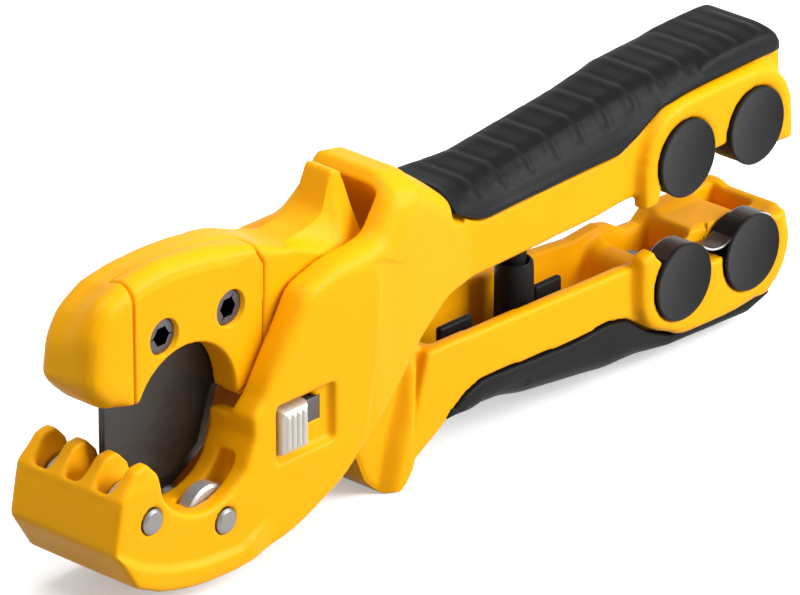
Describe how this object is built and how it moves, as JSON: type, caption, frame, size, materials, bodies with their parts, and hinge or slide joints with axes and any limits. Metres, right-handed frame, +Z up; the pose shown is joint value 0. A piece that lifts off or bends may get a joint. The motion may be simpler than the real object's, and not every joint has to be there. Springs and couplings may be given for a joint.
{
  "type": "pvc pipe cutter",
  "caption": "Hand shear for plastic pipe: ribbed roller jaw, hinged blade lever, and two rubber-backed handles with rollers at their ends.",
  "frame": {"origin": "middle of the bounding box at the level the tool rests on", "axes": "+X along the tool from jaw to handle ends, -Y toward the side with the lock button and the handle rollers, +Z up from the lower handle to the upper handle"},
  "size_m": [0.2038, 0.032, 0.0723],
  "materials": {
    "yellow_casting": "satin powder coat",
    "grip_rubber": "matt moulded",
    "roller_plastic": "moulded",
    "carrier_plastic": "moulded",
    "steel": "turned",
    "button_metal": "cast, satin",
    "blade_steel": "blackened, ground edge",
    "black_screw": "black oxide"
  },
  "bodies": {
    "frame": {"frame_casting": "yellow_casting", "upper_grip": "grip_rubber", "pivot_pin": "steel", "spring_plunger": "carrier_plastic", "return_spring": "steel", "jaw_pin_front": "steel", "jaw_pin_rear": "steel", "upper_axle_front": "steel", "upper_axle_rear": "steel"},
    "lever": {"lever_casting": "yellow_casting", "blade_cover": "yellow_casting", "cutting_blade": "blade_steel", "cover_screw_front": "black_screw", "cover_screw_rear": "black_screw", "lower_grip": "grip_rubber", "leaf_strip": "steel", "spring_carrier": "carrier_plastic", "lower_axle_front": "steel", "lower_axle_rear": "steel"},
    "lock": {"lock_slider": "button_metal"},
    "jaw_front_near": {"jaw_roller_front_near": "steel"},
    "jaw_front_far": {"jaw_roller_front_far": "steel"},
    "jaw_rear_near": {"jaw_roller_rear_near": "steel"},
    "jaw_rear_far": {"jaw_roller_rear_far": "steel"},
    "upper_front_roller": {"upper_roller_front": "roller_plastic"},
    "upper_rear_roller": {"upper_roller_rear": "roller_plastic"},
    "lower_front_roller": {"lower_roller_front": "roller_plastic"},
    "lower_rear_roller": {"lower_roller_rear": "roller_plastic"}
  },
  "joints": [
    {"name": "lever_pivot", "type": "hinge", "parent": "frame", "child": "lever", "pos_m": [-0.04565, 0.00118, 0.04792], "axis": [0, 1, 0], "range_deg": [0, 40], "deforming": ["return_spring"]},
    {"name": "lock_slide", "type": "slide", "parent": "frame", "child": "lock", "axis": [1, 0, 0], "range_m": [0, 0.0054]},
    {"name": "jaw_front_near_turn", "type": "hinge", "parent": "frame", "child": "jaw_front_near", "pos_m": [-0.09165, -0.00715, 0.02202], "axis": [0, 1, 0], "continuous": true},
    {"name": "jaw_front_far_turn", "type": "hinge", "parent": "frame", "child": "jaw_front_far", "pos_m": [-0.09165, 0.0095, 0.02202], "axis": [0, 1, 0], "continuous": true},
    {"name": "jaw_rear_near_turn", "type": "hinge", "parent": "frame", "child": "jaw_rear_near", "pos_m": [-0.07135, -0.00715, 0.01482], "axis": [0, 1, 0], "continuous": true},
    {"name": "jaw_rear_far_turn", "type": "hinge", "parent": "frame", "child": "jaw_rear_far", "pos_m": [-0.07135, 0.0095, 0.01482], "axis": [0, 1, 0], "continuous": true},
    {"name": "upper_front_turn", "type": "hinge", "parent": "frame", "child": "upper_front_roller", "pos_m": [0.06675, -0.0082, 0.04672], "axis": [0, 1, 0], "continuous": true},
    {"name": "upper_rear_turn", "type": "hinge", "parent": "frame", "child": "upper_rear_roller", "pos_m": [0.08845, -0.0082, 0.04702], "axis": [0, 1, 0], "continuous": true},
    {"name": "lower_front_turn", "type": "hinge", "parent": "lever", "child": "lower_front_roller", "pos_m": [0.06615, -0.0082, 0.01912], "axis": [0, 1, 0], "continuous": true},
    {"name": "lower_rear_turn", "type": "hinge", "parent": "lever", "child": "lower_rear_roller", "pos_m": [0.08785, -0.0082, 0.01862], "axis": [0, 1, 0], "continuous": true}
  ]
}
